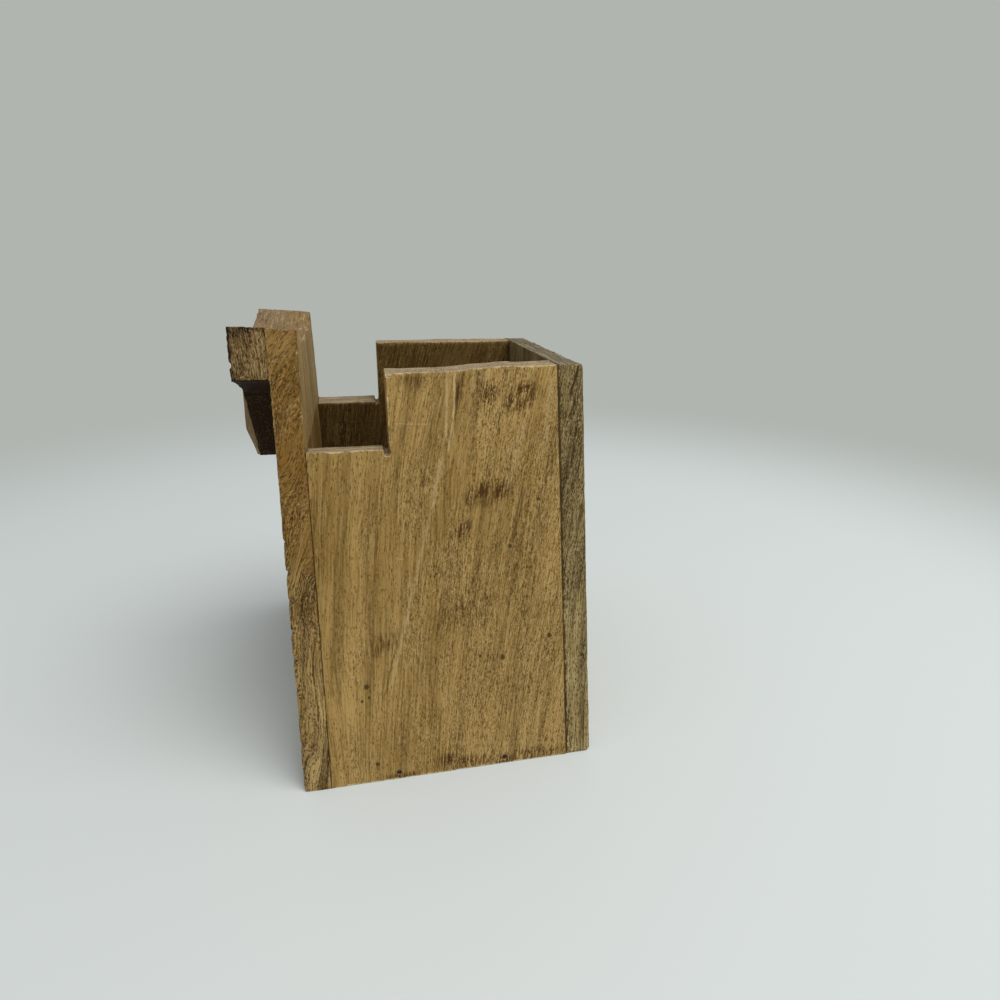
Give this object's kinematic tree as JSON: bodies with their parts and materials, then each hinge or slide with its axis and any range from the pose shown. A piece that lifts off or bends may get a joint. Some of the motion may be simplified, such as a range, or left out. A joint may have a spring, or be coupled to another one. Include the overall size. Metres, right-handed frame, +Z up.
{
  "type": "pen holder",
  "caption": "Wooden pen holder and spectacle rest: leaning-sided box with a tall front board, an owl's carved brow and beak, feather rows, and notched sides for the spectacle arms.",
  "frame": {"origin": "on the table, in the middle of the whole holder seen from above", "axes": "+Z up, +X across the box towards its right side board, the owl's face looks along -Y"},
  "size_m": [0.096, 0.08, 0.102],
  "materials": {
    "front_wood": "dry carved wood, bare",
    "back_wood": "dry greyish wood, bare",
    "side_wood": "dry golden-brown wood, lightly waxed",
    "floor_wood": "dry rough wood, bare",
    "brow_wood": "carved wood with scorched edges",
    "pin_steel": "dull, darkened"
  },
  "bodies": {
    "root": {"front_board": "front_wood", "back_board": "back_wood", "right_side_board": "side_wood", "left_side_board": "side_wood", "base_board": "floor_wood", "brow_and_beak": "brow_wood", "base_pins": "pin_steel"}
  },
  "joints": []
}
